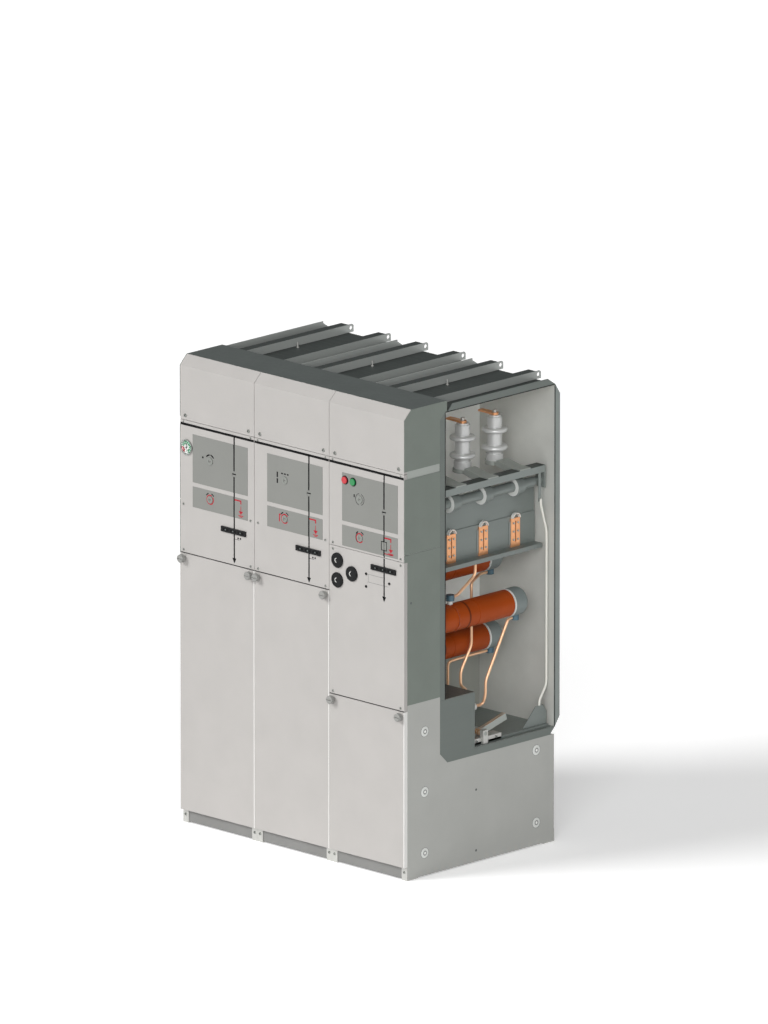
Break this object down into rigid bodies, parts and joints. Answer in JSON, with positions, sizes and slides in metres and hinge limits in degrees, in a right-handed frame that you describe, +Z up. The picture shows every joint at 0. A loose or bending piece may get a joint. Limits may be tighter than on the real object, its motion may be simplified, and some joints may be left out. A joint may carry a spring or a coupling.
{
  "type": "ring main unit",
  "caption": "Floor-standing gas-insulated ring main unit with cable-switch and fused-switch modules, removable cable covers and an open end on the fused tank.",
  "frame": {"origin": "floor point under the middle of the bounding box", "axes": "+X to the right along the front, +Y from the front to the rear, +Z up"},
  "size_m": [1.264, 0.906, 1.932],
  "materials": {
    "front_paint": "satin powder coat",
    "side_paint": "satin powder coat",
    "hood_paint": "satin powder coat",
    "frame_zinc": "satin zinc-coated sheet",
    "base_paint": "satin powder coat",
    "foot_zinc": "zinc plated",
    "tank_steel": "brushed stainless",
    "flange_steel": "brushed stainless",
    "plate_grey": "matt printed plate",
    "black_plastic": "satin",
    "gauge_metal": "polished rim",
    "gauge_clear": "clear",
    "switch_steel": "satin",
    "resin_grey": "cast resin",
    "copper": "bare copper",
    "fuse_brown": "cast resin",
    "cap_grey": "moulded",
    "clamp_blue": "anodised",
    "bushing_brown": "cast resin",
    "drive_steel": "zinc plated",
    "knob_grey": "moulded",
    "hub_dark": "blackened",
    "earth_red": "painted ring",
    "button_red": "moulded",
    "button_green": "moulded",
    "tube_pale": "painted tube"
  },
  "bodies": {
    "frame": {"foot_brackets": "foot_zinc", "kick_plates": "base_paint", "base_walls": "base_paint", "base_rear_panels": "base_paint", "side_plugs": "foot_zinc", "sealed_tanks": "tank_steel", "open_tank": "tank_steel", "tank_walls": "flange_steel", "tank_end_flange": "flange_steel", "lifting_channels": "flange_steel", "hood": "hood_paint", "front_uprights": "frame_zinc", "side_covers": "side_paint", "top_covers": "front_paint", "mimic_panel_1": "front_paint", "mimic_panel_2": "front_paint", "mimic_panel_3": "front_paint", "fuse_panel": "front_paint", "mimic_plates": "plate_grey", "voltage_indicators": "black_plastic", "phase_plugs": "black_plastic", "gauge_case": "gauge_metal", "gauge_glass": "gauge_clear", "switch_rail": "switch_steel", "switch_web": "switch_steel", "pole_blocks": "resin_grey", "busbar_bushings": "resin_grey", "busbar_lugs": "copper", "fixed_contacts": "copper", "fuse_tubes": "fuse_brown", "fuse_caps": "cap_grey", "fuse_clamps": "clamp_blue", "copper_leads": "copper", "cable_bushings": "bushing_brown", "earthing_base": "drive_steel", "sensing_tube": "tube_pale", "drive_units": "drive_steel"},
    "cover_1": {"cable_cover_1": "front_paint"},
    "knob_1": {"cover_knob_1": "knob_grey"},
    "knob_2": {"cover_knob_2": "knob_grey"},
    "cover_2": {"cable_cover_2": "front_paint"},
    "knob_3": {"cover_knob_3": "knob_grey"},
    "knob_4": {"cover_knob_4": "knob_grey"},
    "cover_3": {"cable_cover_3": "front_paint"},
    "knob_5": {"cover_knob_5": "knob_grey"},
    "knob_6": {"cover_knob_6": "knob_grey"},
    "load_hub_1": {"load_hub_1": "hub_dark"},
    "indicator_1": {"indicator_1": "black_plastic"},
    "earth_hub_1": {"earth_hub_1": "earth_red"},
    "load_hub_2": {"load_hub_2": "hub_dark"},
    "indicator_2": {"indicator_2": "black_plastic"},
    "earth_hub_2": {"earth_hub_2": "earth_red"},
    "load_hub_3": {"load_hub_3": "hub_dark"},
    "indicator_3": {"indicator_3": "black_plastic"},
    "earth_hub_3": {"earth_hub_3": "earth_red"},
    "switch_shaft": {"switch_shaft": "switch_steel"},
    "earth_knife": {"earth_knife": "copper"},
    "gauge_needle": {"gauge_needle": "black_plastic"},
    "trip_button": {"trip_button": "button_red"},
    "close_button": {"close_button": "button_green"}
  },
  "joints": [
    {"name": "cover_1_off", "type": "slide", "parent": "frame", "child": "cover_1", "axis": [0, -1, 0], "range_m": [0, 0.3]},
    {"name": "knob_1_turn", "type": "hinge", "parent": "cover_1", "child": "knob_1", "pos_m": [-0.609, -0.428, 1.1], "axis": [0, 1, 0], "range_deg": [0, 90]},
    {"name": "knob_2_turn", "type": "hinge", "parent": "cover_1", "child": "knob_2", "pos_m": [-0.231, -0.428, 1.1], "axis": [0, 1, 0], "range_deg": [0, 90]},
    {"name": "cover_2_off", "type": "slide", "parent": "frame", "child": "cover_2", "axis": [0, -1, 0], "range_m": [0, 0.3]},
    {"name": "knob_3_turn", "type": "hinge", "parent": "cover_2", "child": "knob_3", "pos_m": [-0.189, -0.428, 1.1], "axis": [0, 1, 0], "range_deg": [0, 90]},
    {"name": "knob_4_turn", "type": "hinge", "parent": "cover_2", "child": "knob_4", "pos_m": [0.189, -0.428, 1.1], "axis": [0, 1, 0], "range_deg": [0, 90]},
    {"name": "cover_3_off", "type": "slide", "parent": "frame", "child": "cover_3", "axis": [0, -1, 0], "range_m": [0, 0.3]},
    {"name": "knob_5_turn", "type": "hinge", "parent": "cover_3", "child": "knob_5", "pos_m": [0.231, -0.428, 0.677], "axis": [0, 1, 0], "range_deg": [0, 90]},
    {"name": "knob_6_turn", "type": "hinge", "parent": "cover_3", "child": "knob_6", "pos_m": [0.609, -0.428, 0.677], "axis": [0, 1, 0], "range_deg": [0, 90]},
    {"name": "load_1_turn", "type": "hinge", "parent": "frame", "child": "load_hub_1", "pos_m": [-0.458, -0.428, 1.526], "axis": [0, 1, 0], "range_deg": [0, 90]},
    {"name": "indicator_1_turn", "type": "hinge", "parent": "frame", "child": "indicator_1", "pos_m": [-0.323, -0.428, 1.498], "axis": [0, 1, 0], "range_deg": [0, 90]},
    {"name": "earth_1_turn", "type": "hinge", "parent": "frame", "child": "earth_hub_1", "pos_m": [-0.458, -0.428, 1.368], "axis": [0, 1, 0], "range_deg": [0, 90]},
    {"name": "load_2_turn", "type": "hinge", "parent": "frame", "child": "load_hub_2", "pos_m": [-0.038, -0.428, 1.526], "axis": [0, 1, 0], "range_deg": [0, 90]},
    {"name": "indicator_2_turn", "type": "hinge", "parent": "frame", "child": "indicator_2", "pos_m": [0.097, -0.428, 1.498], "axis": [0, 1, 0], "range_deg": [0, 90]},
    {"name": "earth_2_turn", "type": "hinge", "parent": "frame", "child": "earth_hub_2", "pos_m": [-0.038, -0.428, 1.368], "axis": [0, 1, 0], "range_deg": [0, 90]},
    {"name": "load_3_turn", "type": "hinge", "parent": "frame", "child": "load_hub_3", "pos_m": [0.382, -0.428, 1.526], "axis": [0, 1, 0], "range_deg": [0, 90]},
    {"name": "indicator_3_turn", "type": "hinge", "parent": "frame", "child": "indicator_3", "pos_m": [0.517, -0.428, 1.498], "axis": [0, 1, 0], "range_deg": [0, 90]},
    {"name": "earth_3_turn", "type": "hinge", "parent": "frame", "child": "earth_hub_3", "pos_m": [0.382, -0.428, 1.368], "axis": [0, 1, 0], "range_deg": [0, 90]},
    {"name": "switch_turn", "type": "hinge", "parent": "frame", "child": "switch_shaft", "pos_m": [0.565, 0.072, 1.485], "axis": [0, 1, 0], "range_deg": [0, 90]},
    {"name": "earth_knife_swing", "type": "hinge", "parent": "frame", "child": "earth_knife", "pos_m": [0.585, 0.042, 0.518], "axis": [1, 0, 0], "range_deg": [0, 60]},
    {"name": "gauge_turn", "type": "hinge", "parent": "frame", "child": "gauge_needle", "pos_m": [-0.59, -0.428, 1.561], "axis": [0, 1, 0], "range_deg": [-120, 60]},
    {"name": "trip_push", "type": "slide", "parent": "frame", "child": "trip_button", "axis": [0, 1, 0], "range_m": [0, 0.006], "stiffness_N_per_m": 400},
    {"name": "close_push", "type": "slide", "parent": "frame", "child": "close_button", "axis": [0, 1, 0], "range_m": [0, 0.006], "stiffness_N_per_m": 400}
  ],
  "couplings": [
    {"joint": "indicator_1_turn", "follows": "load_1_turn", "ratio": 1},
    {"joint": "indicator_2_turn", "follows": "load_2_turn", "ratio": 1},
    {"joint": "load_3_turn", "follows": "switch_turn", "ratio": 1},
    {"joint": "indicator_3_turn", "follows": "switch_turn", "ratio": 1},
    {"joint": "earth_3_turn", "follows": "earth_knife_swing", "ratio": 1.5}
  ]
}
